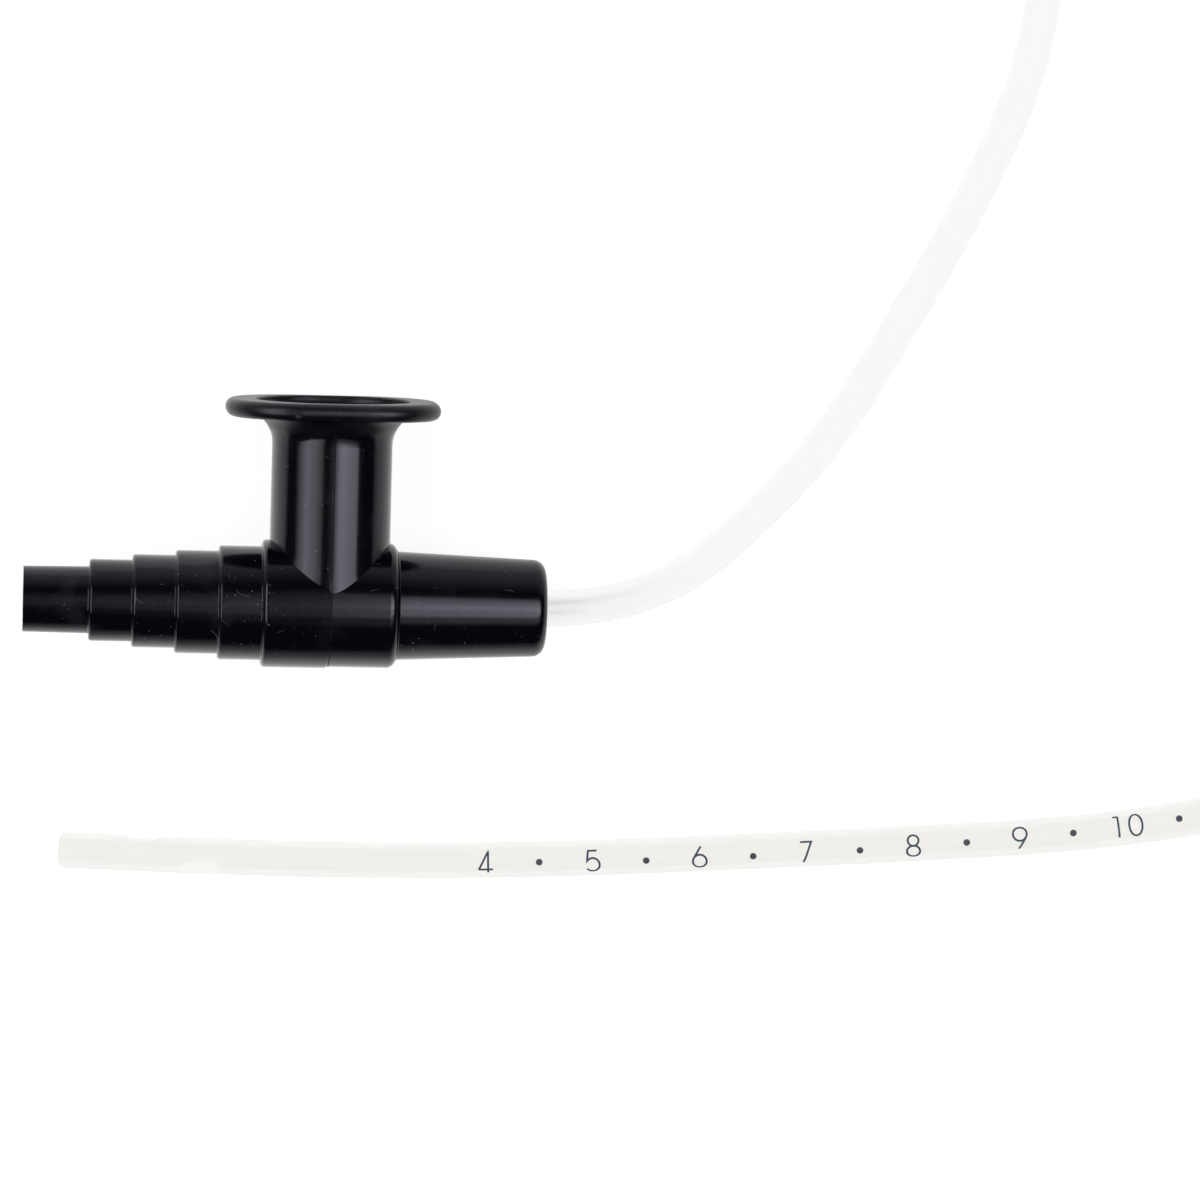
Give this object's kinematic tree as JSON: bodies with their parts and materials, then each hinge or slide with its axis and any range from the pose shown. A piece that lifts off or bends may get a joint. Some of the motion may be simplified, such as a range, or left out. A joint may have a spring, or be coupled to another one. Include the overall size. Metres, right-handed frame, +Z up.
{
  "type": "suction catheter",
  "caption": "Soft clear suction tube with side eyes and centimetre marks, glued into a black stepped T connector with a thumb port.",
  "frame": {"origin": "on the table, under the middle of the connector's box", "axes": "+X along the barrel from the barbs to the nozzle, +Y from the barrel to the thumb flange, +Z up from the table"},
  "size_m": [0.1575, 0.1219, 0.016],
  "materials": {
    "connector": "glossy moulded black, finely scratched on the barbs",
    "tube": "milky translucent soft plastic, satin"
  },
  "bodies": {
    "root": {"connector_body": "connector", "catheter_tube": "tube"}
  },
  "joints": []
}
